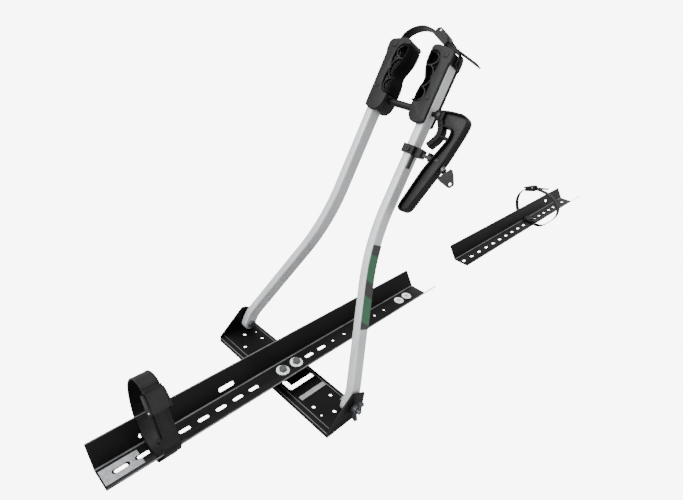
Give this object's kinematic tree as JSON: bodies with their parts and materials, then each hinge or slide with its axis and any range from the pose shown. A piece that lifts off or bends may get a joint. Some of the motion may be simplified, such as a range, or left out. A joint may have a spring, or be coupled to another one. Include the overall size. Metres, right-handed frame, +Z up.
{
  "type": "roof rack bike carrier",
  "caption": "Roof-mounted upright bicycle carrier: folded steel wheel tray with a pull-out extension, two hinged aluminium arms with a lever frame clamp, and ratchet straps for the wheels.",
  "frame": {"origin": "centre of the four roof-bar holes on the underside of the base plate, which rests on the roof bars", "axes": "+X along the wheel tray towards the extension, +Y across the tray towards the left arm, +Z up away from the roof"},
  "size_m": [1.711, 0.3268, 0.5848],
  "materials": {
    "black_powder_coat": "satin powder coat over folded steel",
    "anodised_aluminium": "satin anodised",
    "bright_zinc": "bright zinc plate",
    "black_zinc": "blackened zinc screws",
    "moulded_black": "fine spark-eroded texture, glass-filled nylon",
    "dark_grey_moulding": "fine texture",
    "jaw_rubber": "matt moulded rubber",
    "strap_plastic": "flexible moulded strap with ladder teeth",
    "silver_label": "printed foil, plain",
    "sleeve_plastic": "satin tube",
    "tongue_steel": "grey phosphated steel",
    "green_film": "printed film with plain stripes"
  },
  "bodies": {
    "base": {"base_plate": "black_powder_coat", "main_tray": "black_powder_coat", "tray_bolts": "bright_zinc", "tray_washers": "bright_zinc", "tray_nuts": "bright_zinc", "joiner_nuts": "bright_zinc", "tray_label": "silver_label", "base_label": "silver_label", "wheel_cradle": "moulded_black", "cradle_screws": "black_zinc", "front_strap": "strap_plastic", "front_buckle": "moulded_black", "front_buckle_pin": "bright_zinc"},
    "front_thumb": {"front_buckle_lever": "dark_grey_moulding"},
    "extension": {"extension_tray": "black_powder_coat", "strap_keeper": "moulded_black", "keeper_screw": "black_zinc", "rear_strap": "strap_plastic", "rear_buckle": "moulded_black", "rear_buckle_pin": "bright_zinc"},
    "rear_thumb": {"rear_buckle_lever": "dark_grey_moulding"},
    "arms": {"left_arm": "anodised_aluminium", "right_arm": "anodised_aluminium", "pivot_bolts": "bright_zinc", "pivot_washers": "bright_zinc", "arm_sticker": "green_film", "right_jaw": "moulded_black", "right_jaw_pad": "jaw_rubber", "jaw_screws": "black_zinc", "lever_collar": "moulded_black", "collar_screw": "black_zinc", "lock_tongue": "tongue_steel", "tongue_knob": "dark_grey_moulding", "top_strap": "strap_plastic", "strap_rivet": "bright_zinc", "top_buckle": "moulded_black", "top_buckle_pin": "bright_zinc"},
    "top_thumb": {"top_buckle_lever": "dark_grey_moulding"},
    "left_wing": {"left_wing_nut": "bright_zinc"},
    "right_wing": {"right_wing_nut": "bright_zinc"},
    "left_clamp": {"left_jaw": "moulded_black", "left_jaw_pad": "jaw_rubber", "draw_rod": "bright_zinc", "rod_sleeve": "sleeve_plastic", "rod_nut": "bright_zinc"},
    "lever": {"lever_handle": "moulded_black", "lever_pin": "bright_zinc"},
    "lock": {"lock_barrel": "bright_zinc", "key": "dark_grey_moulding"}
  },
  "joints": [
    {"name": "arm_fold", "type": "hinge", "parent": "base", "child": "arms", "pos_m": [0.018, 0, 0.018], "axis": [0, 1, 0], "range_deg": [-25, 55]},
    {"name": "extension_slide", "type": "slide", "parent": "base", "child": "extension", "axis": [1, 0, 0], "range_m": [-0.297, 0]},
    {"name": "jaw_release", "type": "slide", "parent": "arms", "child": "left_clamp", "axis": [0, 1, 0], "range_m": [0, 0.0045]},
    {"name": "lever_open", "type": "hinge", "parent": "left_clamp", "child": "lever", "pos_m": [0.2217, -0.074, 0.45484], "axis": [-0.9063, 0, 0.4226], "range_deg": [0, 85]},
    {"name": "lock_turn", "type": "hinge", "parent": "lever", "child": "lock", "pos_m": [0.1917, -0.11, 0.39049], "axis": [-0.2543, -0.7986, -0.5454], "range_deg": [0, 90]},
    {"name": "left_wing_turn", "type": "hinge", "parent": "arms", "child": "left_wing", "pos_m": [0.018, 0.155, 0.018], "axis": [0, 1, 0], "continuous": true},
    {"name": "right_wing_turn", "type": "hinge", "parent": "arms", "child": "right_wing", "pos_m": [0.018, -0.155, 0.018], "axis": [0, -1, 0], "continuous": true},
    {"name": "front_thumb_lift", "type": "hinge", "parent": "base", "child": "front_thumb", "pos_m": [-0.2425, -0.02053, 0.101], "axis": [1, 0, 0], "range_deg": [0, 40], "stiffness_Nm_per_rad": 0.02},
    {"name": "rear_thumb_lift", "type": "hinge", "parent": "extension", "child": "rear_thumb", "pos_m": [1.06, 0.02475, 0.12005], "axis": [1, 0, 0], "range_deg": [0, 40], "stiffness_Nm_per_rad": 0.02},
    {"name": "top_thumb_lift", "type": "hinge", "parent": "arms", "child": "top_thumb", "pos_m": [0.27359, -0.01839, 0.56612], "axis": [-0.9063, 0, 0.4226], "range_deg": [0, 40], "stiffness_Nm_per_rad": 0.02}
  ],
  "couplings": [
    {"joint": "jaw_release", "follows": "lever_open", "m_per_rad": 0.0030333}
  ]
}
